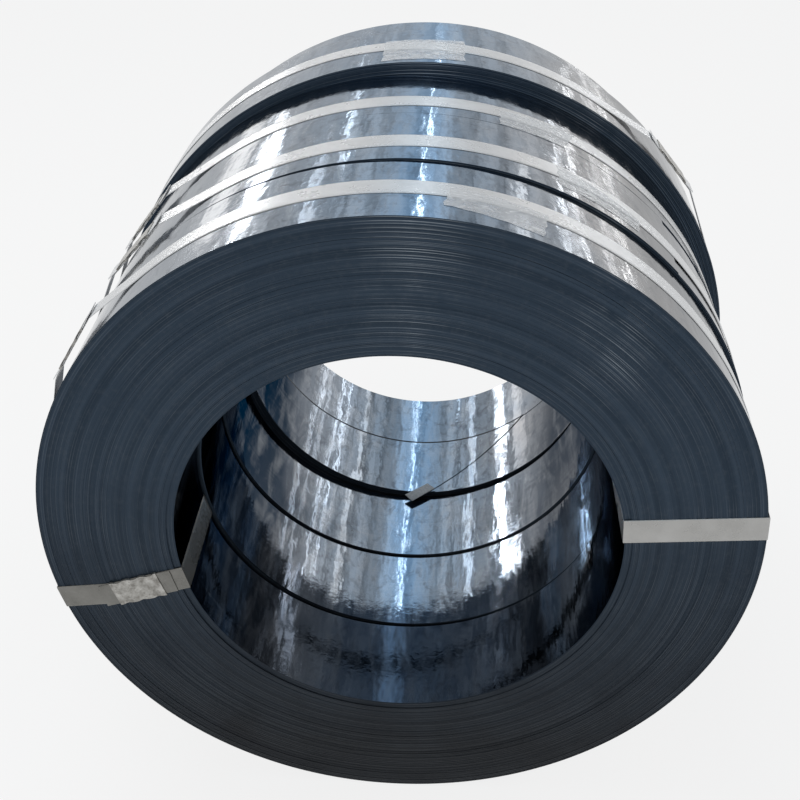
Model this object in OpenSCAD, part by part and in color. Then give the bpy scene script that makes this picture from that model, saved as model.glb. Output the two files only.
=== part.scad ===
// Pack of five slit steel coils, lying on the floor side by side, with a belly band around each coil
// and two eye straps through the bore of the front coil.
// The axis of the coils lies along Y, the front end faces -Y, and the floor is z = 0.

/* [Coils] */
// Width of the strip, which is the length of one coil
strip_w = 136; // [110:1:220]
// Thickness of the strip
strip_t = 1; // [0.3:0.1:3]
// Gap between the ends of neighbouring coils
coil_gap = 0.4; // [0.2:0.1:3]
// Bore diameter of the first coil, that of the mandrel it was wound on
bore_d = 508; // [460:1:540]
// Radial thickness of the wound strip on the first coil
wound_t = 155; // [110:0.5:190]
// How much larger the second coil is outside than the first
coil_2_larger = 2; // [-30:0.5:30]
// How much larger the third coil is outside
coil_3_larger = 4; // [-30:0.5:30]
// How much larger the fourth coil is outside
coil_4_larger = 18; // [-30:0.5:30]
// How much smaller the fifth coil is outside
coil_5_smaller = 9; // [-30:0.5:30]
// How much narrower the second coil's bore is than the first's
coil_2_narrower = 2; // [0:0.5:30]
// How much narrower the third coil's bore is
coil_3_narrower = 7; // [0:0.5:30]
// How much narrower the fourth coil's bore is
coil_4_narrower = 11; // [0:0.5:30]
// How much narrower the fifth coil's bore is
coil_5_narrower = 16; // [0:0.5:30]
// Sideways shift of the second coil, counted from the first
coil_2_shift = 3.5; // [-15:0.5:15]
// Sideways shift of the third coil
coil_3_shift = 4; // [-15:0.5:15]
// Sideways shift of the fourth coil
coil_4_shift = 10.5; // [-15:0.5:15]
// Sideways shift of the fifth coil
coil_5_shift = 10; // [-15:0.5:15]

/* [Turns and strip ends] */
// Number of stepped groups of turns on each end
turn_groups = 19; // [6:1:30]
// Deepest step between groups of turns
turn_step = 0.6; // [0.1:0.1:2]
// Radial thickness of the inner wraps that sit back at the bore
inner_wraps = 8; // [3:0.5:20]
// How far the inner wraps sit back
inner_wraps_step = 1; // [0.2:0.1:4]
// Clock angle of the outer strip end on the second coil, counted from 3 o'clock upwards
outer_end_angle = 44; // [20:1:70]
// Clock angle of the inner strip end's corner in the fourth coil's bore
inner_end_angle = -92; // [-110:1:-70]
// Angle of the inner strip end's cut to the coil's front edge
inner_end_slant = 42; // [20:1:60]
// How far the corner of the inner strip end reaches out in front of the coil
inner_end_out = 20; // [4:1:40]
// Width of the square tip at that corner
inner_end_tip_w = 17; // [6:1:30]
// Angle over which the step at a strip end fades into the turn below
end_fade = 40; // [20:1:60]

/* [Straps] */
// Width of every strap
strap_w = 32; // [16:1:40]
// Thickness of every strap
strap_t = 0.9; // [0.5:0.1:1.5]
// Clearance between a strap and what it lies on
fit_gap = 0.1; // [0.05:0.05:0.3]
// How far a belly band stands off its coil at its seal
band_lift = 7; // [2:0.5:14]
// Place of the second belly band, counted back from the middle of its coil
band_2_shift = -18; // [-45:1:45]
// Place of the third belly band, counted back from the middle of its coil
band_3_shift = -26; // [-45:1:45]
// Clock angle of the right eye strap at the bore
right_bore_angle = 8; // [-20:0.5:20]
// Clock angle of the right eye strap at the rim
right_rim_angle = 6.5; // [-20:0.5:20]
// Clock angle of the left eye strap at the bore
left_bore_angle = 192.5; // [165:0.5:205]
// Clock angle of the left eye strap at the rim
left_rim_angle = 193; // [165:0.5:205]

/* [Seals] */
// Length of a crimped seal
seal_l = 60; // [30:1:80]
// Wall thickness of a seal
seal_t = 1.2; // [0.6:0.1:2]
// How far the overlapped strap end runs out of the seal
lap_out = 16; // [5:1:40]
// Length of a crimp notch in a seal's edge
notch_l = 7; // [3:0.5:12]
// Depth of a crimp notch
notch_d = 3; // [1:0.5:6]
// Number of crimp notches along a seal's edge
notch_count = 3; // [1:1:4]
// Distance from the bore edge to the middle of an eye strap's seal
eye_seal_from_bore = 60; // [45:1:110]

/* [Tape] */
// Width of a tape patch along the axis
tape_w = 52; // [30:1:70]
// How far past a band's edge the tape comes down onto the coil
tape_ramp = 6; // [3:0.5:12]
// Thickness of the tape
tape_t = 0.3; // [0.1:0.1:0.6]

/* [Hidden] */
$fn = 96;

coil_od = bore_d + 2 * wound_t;
coil_ods = [for (d = [0, coil_2_larger, coil_3_larger, coil_4_larger, -coil_5_smaller]) coil_od + d];
coil_bores = [for (d = [0, coil_2_narrower, coil_3_narrower, coil_4_narrower, coil_5_narrower]) bore_d - d];
coil_shifts = [0, coil_2_shift, coil_3_shift, coil_4_shift, coil_5_shift];
band_shifts = [0, band_2_shift, band_3_shift, 0, 0];
coil_count = len(coil_ods);
coil_list = [1:coil_count];
// The eye straps go through between the first coil and the second
first_gap = max(coil_gap, strap_t + 2 * fit_gap);
// The coils that show the outer and the inner end of their strip
outer_end_coil = 2;
inner_end_coil = 4;
// Clock angle of each belly band's seal
seal_angles = [148, 138, 142, 40, 145];
// Clock angles that each tape patch spans, and how much of its width lies in front of the band's middle
tape_spans = [[69, 84], [52, 67], [62, 76], [82, 97]];
tape_fronts = [0.85, 0.6, 0.6, 0.6];
// Turn from one group's step to the next, so that the steps look uneven
step_turn = 137.5;

strip_colour = "#46525f";
strap_colour = "#a9adb0";
seal_colour = "#7d8286";
tape_colour = "#d9dde2";

// Point at a radius and a clock angle
function polar(r, angle) = r * [cos(angle), sin(angle)];
function reversed(list) = [for (i = [len(list) - 1:-1:0]) list[i]];

// Radii of a coil, and its axis in the plane across the pack, counted from the first coil's axis
function outer_r(k) = coil_ods[k - 1] / 2;
function bore_r(k) = coil_bores[k - 1] / 2;
function axis_at(k) = [coil_shifts[k - 1], outer_r(k) - outer_r(1)];
// Inner radius of a belly band, and the pack's reach to both sides
function band_r(k) = outer_r(k) + fit_gap;
right_reach = max([for (k = coil_list) axis_at(k).x + band_r(k) + strap_t]);
left_reach = min([for (k = coil_list) axis_at(k).x - band_r(k) - strap_t]);
// Place along the axis, counted from the front face: a coil's front end, middle and rear end, and its band
function front_s(k) = k == 1 ? 0 : (k - 1) * strip_w + first_gap + (k - 2) * coil_gap;
function middle_s(k) = front_s(k) + strip_w / 2;
function rear_s(k) = front_s(k) + strip_w;
function band_s(k) = middle_s(k) + band_shifts[k - 1];
pack_l = rear_s(coil_count);

// Lays the pack down: its axis goes along Y and the bands rest on the floor, with the pack's middle at x = 0
module lying() {
    translate([-(left_reach + right_reach) / 2, -pack_l / 2, band_r(1) + strap_t])
        rotate([90, 0, 0]) children();
}

// Moves to a coil's axis at a place along the pack
module on_axis(k, s) {
    translate([axis_at(k).x, axis_at(k).y, -s]) children();
}

// Sector of the plane between two clock angles less than a half turn apart, out to a radius
module sector(r, from, to) {
    far = r / cos((to - from) / 2);
    polygon([[0, 0], polar(far, from), polar(far, to)]);
}

// Profile of a coil's end, with stepped groups of turns
function group_r(k, i) =
    bore_r(k) + inner_wraps + (outer_r(k) - bore_r(k) - inner_wraps) * i / turn_groups;
function group_step(k, i, end) = turn_step * (1 + sin(step_turn * (i + 7 * k + 3 * end))) / 2;
function end_profile(k, end) = concat(
    [[bore_r(k), inner_wraps_step], [bore_r(k) + inner_wraps, inner_wraps_step]],
    [for (i = [0:turn_groups - 1], j = [0, 1]) [group_r(k, i + j), group_step(k, i, end)]]
);

// How far a circle's middle is moved so that a step one strip thick fades out over the fade angle
fade_shift = strip_t / sin(end_fade);

// Cut beside the outer strip end: one strip deep at the end, fading out around the coil
module outer_end_cut(k) {
    beyond = outer_r(k) + strip_w;
    translate([0, 0, -strip_w]) linear_extrude(strip_w) difference() {
        sector(beyond, outer_end_angle - end_fade, outer_end_angle);
        translate(polar(fade_shift, outer_end_angle - 90)) circle(outer_r(k) - strip_t);
    }
}

// Moves to the inner strip end's corner, in the plane under the bore's axis, with X along its slanted edge
module at_inner_end(k) {
    corner_x = bore_r(k) * cos(inner_end_angle);
    translate([corner_x, 0, inner_end_out]) rotate([90, 0, 0]) linear_extrude(outer_r(k))
        rotate(-inner_end_slant) children();
}

// Cut beside the inner strip end: the bore is one strip wider past the slanted edge, and the step fades
// out around the bore
module inner_end_cut(k) {
    intersection() {
        translate([0, 0, -strip_w]) linear_extrude(strip_w)
            translate(polar(fade_shift, inner_end_angle + 90)) circle(bore_r(k) + strip_t);
        at_inner_end(k) square(2 * strip_w + bore_r(k));
    }
}

// Square tip of the inner strip end, which reaches out in front of the coil
module inner_end_tip(k) {
    tip_l = 2 * inner_end_out / sin(inner_end_slant);
    intersection() {
        translate([0, 0, -inner_wraps_step - strip_t])
            linear_extrude(inner_wraps_step + strip_t + inner_end_out) difference() {
                circle(bore_r(k) + strip_t);
                circle(bore_r(k));
            }
        at_inner_end(k) translate([0, -inner_end_tip_w]) square([tip_l, inner_end_tip_w]);
    }
}

// A wound coil: one turned solid with its bore, stepped turns on both ends, and the strip end if it shows
module coil(k) {
    front = [for (p = end_profile(k, 0)) [p.x, -p.y]];
    rear = [for (p = end_profile(k, 1)) [p.x, p.y - strip_w]];
    color(strip_colour) lying() on_axis(k, front_s(k)) {
        difference() {
            rotate_extrude() polygon(concat(front, reversed(rear)));
            if (k == outer_end_coil) outer_end_cut(k);
            if (k == inner_end_coil) inner_end_cut(k);
        }
        if (k == inner_end_coil) inner_end_tip(k);
    }
}

// A lapped joint of a strap: the seal and a bit of the outer strap end on both sides
lap_l = seal_l + 2 * lap_out;

// Outline of a belly band at a distance off its inner face: a circle, and a flat that stands off the coil
// at the seal, with straight runs to the coil. The runs touch a circle a little inside the band's own.
module band_outline(k, d) {
    run_r = band_r(k) - fit_gap / 2;
    corner = [band_r(k) + band_lift, lap_l / 2];
    leave = atan2(corner.y, corner.x) + acos(run_r / norm(corner));
    bend = corner + d * ([1, 0] + polar(1, leave)) / (1 + cos(leave));
    touch = polar(run_r + d, leave);
    circle(band_r(k) + d);
    polygon([[0, 0], [touch.x, -touch.y], [bend.x, -bend.y], bend, touch]);
}

// A belly band: a taut strap around the coil, two straps thick where its ends lap in the seal
module band(k) {
    color(strap_colour) lying() on_axis(k, band_s(k) + strap_w / 2) rotate([0, 0, seal_angles[k - 1]])
        linear_extrude(strap_w) {
            difference() {
                band_outline(k, strap_t);
                band_outline(k, 0);
            }
            translate([band_r(k) + band_lift, -lap_l / 2]) square([2 * strap_t, lap_l]);
        }
}

// A crimped seal over two lapped straps: a roof, a flange down each edge and notches in the edges.
// It lies along X on z = 0, the lower face of the straps, with twice the clearance at their edges.
seal_w = strap_w + 2 * (2 * fit_gap + seal_t);
seal_roof = 2 * strap_t + fit_gap;
seal_h = seal_roof + seal_t;
function notch_at(i) = seal_l * ((i + 0.5) / notch_count - 0.5);
module seal() {
    difference() {
        translate([-seal_l / 2, -seal_w / 2, 0]) cube([seal_l, seal_w, seal_h]);
        translate([-seal_l, -seal_w / 2 + seal_t, -seal_roof])
            cube([2 * seal_l, seal_w - 2 * seal_t, 2 * seal_roof]);
        for (i = [0:notch_count - 1], side = [-1, 1])
            translate([notch_at(i), side * seal_w / 2, 0])
                cube([notch_l, 2 * notch_d, 4 * seal_h], center = true);
    }
}

module band_seal(k) {
    color(seal_colour) lying() on_axis(k, band_s(k)) rotate([0, 0, seal_angles[k - 1]])
        translate([band_r(k) + band_lift, 0, 0]) rotate([90, 0, 90]) seal();
}

// Radius that an eye strap is pulled over where it crosses the first coil's band
over_band_r = band_r(1) + strap_t;
// Corners that an eye strap is pulled over, as [place along the axis, radius]: the first coil's four edges,
// and a flat length over its band
function eye_corners(flat_l) = [
    [0, bore_r(1)], [strip_w, bore_r(1)], [strip_w, outer_r(1)],
    [band_s(1) + flat_l / 2, over_band_r], [band_s(1) - flat_l / 2, over_band_r], [0, outer_r(1)]
];
// Angle past the strap's edges that its turned loop covers before it is cut to width, and its facets a turn
loop_spare = 4;
loop_fn = 360;

// Outline at a distance outside a convex path, with sharp or round corners
round_step = 15;
full_turn = 360;
function outward(a, b) = atan2(a.x - b.x, b.y - a.y);
function around(path, d, rounded) = [
    for (i = [0:len(path) - 1])
        let (
            n = len(path), here = path[i],
            from = outward(path[(i + n - 1) % n], here),
            bend = (outward(here, path[(i + 1) % n]) - from + 2 * full_turn) % full_turn,
            steps = rounded && bend > round_step ? ceil(bend / round_step) : 0,
            mid = from + bend / 2
        )
        each steps == 0 ? [here + polar(d / cos(bend / 2), mid)]
            : [for (j = [0:steps]) here + polar(d, from + bend * j / steps)]
];
function turned_points(path) = [for (p = path) [p.y, -p.x]];

// Direction of an eye strap over an end face
function slant(bore_angle, rim_angle) =
    let (d = polar(outer_r(1), rim_angle) - polar(bore_r(1), bore_angle)) atan2(d.y, d.x);

// Moves to where an eye strap comes out of the bore, with X along the strap
module at_bore_edge(bore_angle, rim_angle) {
    translate(polar(bore_r(1), bore_angle)) rotate([0, 0, slant(bore_angle, rim_angle)]) children();
}

// A box as wide as a strap, which starts inside the bore and follows the strap's line over the end face
module strap_slab(bore_angle, rim_angle) {
    reach_in = bore_r(1) / 4;
    at_bore_edge(bore_angle, rim_angle) translate([-reach_in, -strap_w / 2, -2 * strip_w])
        cube([outer_r(1), strap_w, 3 * strip_w]);
}

// Moves to the middle of an eye strap's seal, on the front face or on the rim over the band, with X along
// the strap and Z off the coil
module at_eye_seal(bore_angle, rim_angle, on_front) {
    if (on_front)
        at_bore_edge(bore_angle, rim_angle) translate([eye_seal_from_bore, 0, fit_gap]) children();
    else
        rotate([0, 0, rim_angle]) translate([over_band_r + fit_gap, 0, -band_s(1)])
            rotate([0, 90, 0]) children();
}

// An eye strap: a taut closed loop through the bore and around the first coil, lapped in its seal
module eye_strap(bore_angle, rim_angle, on_front) {
    loop = eye_corners(on_front ? strap_w : lap_l);
    spread = 2 * asin(strap_w / 2 / bore_r(1)) + abs(bore_angle - rim_angle) + loop_spare;
    color(strap_colour) lying() {
        intersection() {
            rotate([0, 0, (bore_angle + rim_angle - spread) / 2])
                rotate_extrude(angle = spread, $fn = loop_fn) difference() {
                    polygon(turned_points(around(loop, fit_gap + strap_t, true)));
                    polygon(turned_points(around(loop, fit_gap, false)));
                }
            strap_slab(bore_angle, rim_angle);
        }
        at_eye_seal(bore_angle, rim_angle, on_front)
            translate([-lap_l / 2, -strap_w / 2, strap_t / 2]) cube([lap_l, strap_w, 1.5 * strap_t]);
    }
}

module eye_seal(bore_angle, rim_angle, on_front) {
    color(seal_colour) lying() at_eye_seal(bore_angle, rim_angle, on_front) seal();
}

// A tape patch: a thin skin that lies on the coil and climbs over the band
function tape_lift(z) =
    (strap_t + fit_gap) * min(1, max(0, (strap_w / 2 + tape_ramp - abs(z)) / (tape_ramp - strap_t)));
function tape_places(from, to) = concat([from],
    [for (z = [-tape_ramp, -strap_t, strap_t, tape_ramp] + strap_w / 2 * [-1, -1, 1, 1])
        if (z > from && z < to) z], [to]);
module tape(k) {
    span = tape_spans[k - 1];
    foot = outer_r(k) + fit_gap;
    front = tape_w * tape_fronts[k - 1];
    under = [for (z = tape_places(front - tape_w, front)) [foot + tape_lift(z), z]];
    over = [for (p = under) p + [tape_t, 0]];
    color(tape_colour) lying() on_axis(k, band_s(k))
        rotate([0, 0, span[0]]) rotate_extrude(angle = span[1] - span[0])
            polygon(concat(under, reversed(over)));
}

for (k = coil_list) {
    coil(k);
    band(k);
    band_seal(k);
}
for (k = [1:len(tape_spans)])
    tape(k);
eye_strap(right_bore_angle, right_rim_angle, false);  // eye_strap_right
eye_strap(left_bore_angle, left_rim_angle, true);  // eye_strap_left
eye_seal(right_bore_angle, right_rim_angle, false);  // eye_seal_right
eye_seal(left_bore_angle, left_rim_angle, true);  // eye_seal_left
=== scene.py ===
"""Dresses a pack of slit steel coils: five wound coils on one lying axis, a belly band around each, two eye
straps through the front one's bore, crimped seals and patches of clear tape. Lengths are in metres, the
axis lies along Y, and clock angles are in degrees from 3 o'clock (+X) upwards, seen from the front."""
import math

import bpy
import numpy as np
from mathutils import Matrix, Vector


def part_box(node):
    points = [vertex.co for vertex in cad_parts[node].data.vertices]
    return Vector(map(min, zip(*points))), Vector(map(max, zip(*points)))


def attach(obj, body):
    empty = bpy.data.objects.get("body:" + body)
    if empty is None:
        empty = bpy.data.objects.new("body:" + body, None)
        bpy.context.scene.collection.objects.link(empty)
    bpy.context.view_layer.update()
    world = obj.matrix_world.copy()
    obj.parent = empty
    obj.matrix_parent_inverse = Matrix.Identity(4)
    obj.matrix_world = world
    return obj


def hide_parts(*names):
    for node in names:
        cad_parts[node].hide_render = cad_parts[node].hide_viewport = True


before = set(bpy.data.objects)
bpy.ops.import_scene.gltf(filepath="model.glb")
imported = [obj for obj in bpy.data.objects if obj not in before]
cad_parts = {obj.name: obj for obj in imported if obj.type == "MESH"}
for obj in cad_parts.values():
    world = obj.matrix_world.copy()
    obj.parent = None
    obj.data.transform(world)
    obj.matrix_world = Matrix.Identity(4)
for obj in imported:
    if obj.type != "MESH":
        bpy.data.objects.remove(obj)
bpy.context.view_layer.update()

# Sizes of the stock
MM = 0.001
COIL_COUNT = 5
STRIP_T = 1.0 * MM
STRAP_W = 32.0 * MM
STRAP_T = 0.9 * MM
STRAP_GAP = 0.1 * MM
STRAP_ROLL = 2.0 * MM
SEAL_L = 60.0 * MM
SEAL_T = 1.2 * MM
LAP_L = 92.0 * MM
TAPE_T = 0.25 * MM

# Edges sharper than this angle aren't smoothed
SHARP_EDGE = 40.0

# Grid of a coil: columns around the clock, the last of them just before the first, and rows along a wall
CLOCK_STEPS = 288
LAST_COLUMN = 359.97
WALL_STEPS = 26

# Groups of turns on the ends: seeds, the most there can be, the turns in the widest, how far they sit back,
# the power that leaves most of them near the front, the share that sits back one step more, and how much
# the depth wanders twice around the clock
FRONT_SEED = 10
REAR_SEED = 20
MOST_GROUPS = 200
WIDEST_GROUP = 3
TURN_STEP = 0.35 * MM
DEPTH_POWER = 1.5
DEEP_SHARE = 0.08
WANDER = 0.5
WANDER_TWIST = 40.0

# Innermost wraps, which sit back from the ends, and the margin of a plain end that has groups
INNER_WRAPS = 8.0 * MM
INNER_WRAPS_STEPS = (1.0 * MM, 1.0 * MM, 2.2 * MM, 2.0 * MM, 2.0 * MM)
PLAIN_MARGIN = 3 * INNER_WRAPS

# Waves in the strip: how many, the range of their number around the coil, their most change of angle in
# radians a metre along it, and their depth
WAVE_COUNT = 7
WAVES_AROUND = (9, 46)
WAVE_SLANT = 90
WAVE_DEPTH = 0.22 * MM

# The coil whose bore has a dull rear edge, which shows as a thin seam
DULL_EDGE_COIL = 4
DULL_EDGE = 3.5 * MM

# Numbers of a coil's materials, and radii between its bore and its outside
IN_BORE, ON_END, ON_TIP, OUTSIDE = range(4)
BETWEEN_WALLS = (0.3, 0.31)

# How much smaller some coils look than their solids, so that they lie flush with the one in front
OUTER_TRIMS = (0.0, 0.0, 1.9 * MM, 0.0, 0.0)

# Strip ends: clock angles, the slant of the inner one's cut and how far its square tip reaches out
OUTER_END_COIL = 2
OUTER_END_CLOCK = 44.0
INNER_END_COIL = 4
INNER_END_CLOCK = -92.0
INNER_END_SLANT = 42.0
INNER_END_OUT = 20.0 * MM
END_FADE = 40.0

# The square tip: its width, thickness and droop, its length in reaches, its room on the bore's wall and its
# grid
INNER_TIP_W = 17.0 * MM
INNER_TIP_T = 0.8 * STRIP_T
INNER_TIP_DROOP = 1.5 * MM
INNER_TIP_REACHES = 1.5
INNER_TIP_GAP = 0.05 * MM
INNER_TIP_STEPS = (12, 8)

# Points on a strap: on each rolled edge and flat of its section, and on each bend and run of its path
ROLL_STEPS = 6
FLAT_STEPS = 7
BEND_STEPS = 7
RUN_STEPS = 14

# Belly bands: clock angle of each seal, how far the band stands off there, and its sway along the axis
SEAL_CLOCKS = (148.0, 138.0, 142.0, 40.0, 145.0)
BAND_LIFT = 7.0 * MM
BAND_SWAYS = ((0.0, 0.0), (7.0 * MM, 0.0), (8.0 * MM, -15.0), (16.0 * MM, 188.0), (3.0 * MM, 90.0))
BAND_STEPS = 480

# Lapped ends of straps: points along a lap, its height in strap thicknesses, and the lift of its tips
BAND_LAP_STEPS = 41
BAND_LAP_HEIGHT = 1.05
BAND_TIP_LIFT = 1.2 * MM
EYE_LAP_STEPS = 31
EYE_LAP_HEIGHT = 1.55
EYE_TIP_LIFT = 0.25 * MM

# Eye straps: clock angles at the bore and at the rim, whether the seal is on the front face or the rim, and
# how far the strap runs out of line at its kink
EYE_STRAPS = {"right": (8.0, 6.5, False, 0.0), "left": (192.5, 193.0, True, 7.0 * MM)}
KINK_FROM_BORE = 92.0 * MM
EYE_SEAL_FROM_BORE = 60.0 * MM
# Room for a flat strap's edges on the round bore and rim
FLAT_IN_BORE = 0.6 * MM
FLAT_ON_RIM = 0.4 * MM

# Crimps of a seal: how many along it, how far they push its edges in and up, its least height and its grid.
# Crimps start at one share of its half width, the fold down at another, and its full width is at a third
CRIMP_COUNT = 3
CRIMP_IN = 2.6 * MM
CRIMP_RISE = 1.1 * MM
SEAL_FOOT = 0.02 * MM
SEAL_STEPS = (73, 33)
CRIMP_FROM = 0.35
FOLD_FROM = 0.72
WIDE_FROM = 0.86

# Tape patches: corners as (place along the axis from the coil's middle, clock angle), front pair first
TAPE_CORNERS = (
    ((-56.0, 70.0), (-37.0, 84.0), (-5.0, 69.0), (6.0, 83.0)),
    ((-54.0, 52.5), (-52.0, 67.0), (-22.0, 52.0), (-2.0, 67.0)),
    ((-67.0, 65.0), (-66.0, 76.0), (-11.0, 62.5), (-23.0, 76.0)),
    ((-53.0, 83.0), (-60.0, 97.0), (27.0, 83.0), (21.0, 97.0)),
)
# A patch's grid, its room on the coil, how far beside the band it climbs and has no full wrinkles, their
# height, and how ragged its edges are
TAPE_STEPS = (61, 41)
TAPE_GAP = 0.05 * MM
TAPE_CLIMB = 6 * MM
TAPE_SMOOTH = 5 * MM
TAPE_WRINKLE = 0.5 * MM
TAPE_RAGGED_PLACE = 0.5 * MM
TAPE_RAGGED_CLOCK = 0.12

# Colours of the strip
STEEL_GREY = (0.33, 0.355, 0.39, 1)
# Tints of a painted reflection: warm at the right of the pack and blue down its middle
STEEL_WARM_REFLECTION = (0.38, 0.365, 0.355, 1)
STEEL_BLUE_REFLECTION = (0.26, 0.35, 0.46, 1)
# Painted shade in the bore and down the outer sides
STEEL_SHADED = (0.036, 0.048, 0.066, 1)
# Pale rolling lines, and painted reflection streaks along the axis
STEEL_LINES_AND_SHEEN = (0.6, 0.61, 0.62, 1)
STEEL_SMUDGED = (0.1, 0.11, 0.13, 1)
# The bore's edge tint is darker than the outside's: painted shade in the bore
BORE_SHADE_TINT = (0.3, 0.32, 0.35, 1)
OUTSIDE_TINT = (0.75, 0.76, 0.77, 1)
SLATE_DARK = (0.02, 0.034, 0.053, 1)
SLATE = (0.034, 0.053, 0.079, 1)
SLATE_DUSTY = (0.06, 0.075, 0.095, 1)
SLATE_SHADED = (0.008, 0.01, 0.013, 1)
# Painted highlight on the lines of the ends
SLATE_LINE_GLINT = (0.3, 0.34, 0.38, 1)
# Pale greys of the inner end's tip, which paint it as lit from above
TIP_LIT_GREY = (0.4, 0.42, 0.44, 1)
TIP_LIT_PALE = (0.6, 0.62, 0.64, 1)

# Colours of the straps, as dull and clean, and of the seals and the tape
BAND_GREYS = ((0.6, 0.61, 0.62, 1), (0.7, 0.71, 0.72, 1))
EYE_STRAP_GREYS = {
    "right": ((0.42, 0.415, 0.4, 1), (0.52, 0.515, 0.5, 1)),
    # The left strap's greys are darker than the right one's: painted shade
    "left": ((0.16, 0.157, 0.143, 1), (0.26, 0.253, 0.235, 1)),
}
STRAP_SCUFFED = (0.36, 0.36, 0.35, 1)
SEAL_DULL = (0.24, 0.23, 0.21, 1)
SEAL_CLEAN = (0.56, 0.55, 0.52, 1)
SEAL_DIRT = (0.12, 0.1, 0.08, 1)
FILM = (0.9, 0.92, 0.94, 1)

# Camera, placed from the middle of the front coil's face
CAMERA_FROM_FACE = (0.0534, -0.9928, 0.8601)
CAMERA_PITCH = 33.51
CAMERA_YAW = 2.90
CAMERA_LENS = 51.868
SENSOR = 36.0

# Floor: its size, its grey and how nearly white it looks
FLOOR_SIZE = 40.0
FLOOR_GREY = (0.82, 0.82, 0.82, 1)
FLOOR_WHITE = 0.82

# Light: even level, level overhead, contrast and least level of the grey rows there, and the middle's glow
EVEN_LEVEL = 0.5
OVERHEAD = 0.64
ROW_CONTRAST = 2.6
DARKEST_ROW = 0.12
MIDDLE_GLOW = 0.5
WHITE = (1.0, 1.0, 1.0)
SKY = (0.62, 0.82, 1.0)
WARM = (1.0, 0.93, 0.86)
PACK_MIDDLE = (0, 0, 0.41)
# Lamp for matt surfaces
KEY_PLACE = (-0.8, 0.6, 3.2)
KEY_SIZE = (2.0, 2.0)
KEY_LEVEL = 2.2
# Strip lamps: name, place across and up, width, start and stop along the pack, brightness and colour
TUBES = (
    ("right_low", 2.27, 0.91, 0.03, 2.6, 7.0, 6.0, WHITE),
    ("right_broad", 2.27, 1.19, 0.06, 2.6, 7.0, 1.8, WHITE),
    ("right_high", 2.27, 1.71, 0.04, 2.6, 7.0, 6.0, WHITE),
    ("right_top", 2.27, 2.04, 0.05, 2.6, 7.0, 5.0, WHITE),
    ("faint_right", 2.1, 3.0, 0.2, 2.6, 7.0, 1.4, WARM),
    ("middle", 0.09, 3.0, 0.04, 2.6, 7.0, 5.0, WHITE),
    ("left_1", -2.0, 3.0, 0.03, 2.6, 7.0, 6.0, WHITE),
    ("left_2", -2.16, 3.0, 0.03, 2.6, 7.0, 6.0, WHITE),
    ("outer_left", -0.965, 2.14, 0.03, 3.6, 5.0, 6.0, WHITE),
    ("window_left", -2.2, 1.61, 0.26, 4.0, 5.5, 7.0, WHITE),
    ("right_wall", -2.2, 1.64, 0.1, 3.05, 3.75, 50.0, WHITE),
    ("bore_patch", -2.2, 1.34, 0.5, 2.6, 3.0, 7.0, WHITE),
    ("bore_right", -2.2, 0.99, 0.35, 3.4, 5.0, 1.3, WARM),
)


# Measures of the coils, read from the frame

class Coil:
    """Axis, radii and ends of one coil. The axis is the middle of its CAD node's box, the radii are the
    nearest and the farthest reach of the node's points from that axis, and the front end is counted from the
    rear one, because a strip end may reach out in front."""

    def __init__(self, number, width):
        node = f"coil_{number}"
        low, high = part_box(node)
        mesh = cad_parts[node].data
        points = np.empty(3 * len(mesh.vertices))
        mesh.vertices.foreach_get("co", points)
        points = points.reshape(-1, 3)
        self.number = number
        self.x = (low.x + high.x) / 2
        self.z = (low.z + high.z) / 2
        reach = np.hypot(points[:, 0] - self.x, points[:, 2] - self.z)
        self.bore = reach.min()
        self.outer = reach.max() - OUTER_TRIMS[number - 1]
        self.rear = high.y
        self.front = high.y - width
        self.middle = high.y - width / 2


def read_coils():
    """The coils from front to rear. The first node gives the width of them all."""
    low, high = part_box("coil_1")
    return [Coil(k, high.y - low.y) for k in range(1, COIL_COUNT + 1)]


coils = read_coils()


def band_middle(coil, clock):
    """Place along the axis of a belly band's middle: where its CAD node is, plus a sway of one wave a
    turn."""
    low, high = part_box(f"band_{coil.number}")
    sway, at = BAND_SWAYS[coil.number - 1]
    return (low.y + high.y) / 2 + sway * np.cos(np.radians(clock - at))


# Meshes from arrays

def grid_faces(rows, cols, closed_rows, closed_cols):
    """Quads of a grid of points numbered row by row, wrapped round where it closes on itself."""
    i, j = np.meshgrid(
        np.arange(rows if closed_rows else rows - 1),
        np.arange(cols if closed_cols else cols - 1),
        indexing="ij",
    )
    below = (i + 1) % rows
    beside = (j + 1) % cols
    quads = np.stack([i * cols + j, i * cols + beside, below * cols + beside, below * cols + j], -1)
    return quads.reshape(-1, 4)


def signed_volume(points, quads):
    """Volume inside a closed surface: a sixth of the sum of each triangle's triple product."""
    a, b, c, d = (points[quads[:, n]] for n in range(4))
    return (np.einsum("ij,ij->", a, np.cross(b, c)) + np.einsum("ij,ij->", a, np.cross(c, d))) / 6


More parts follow.
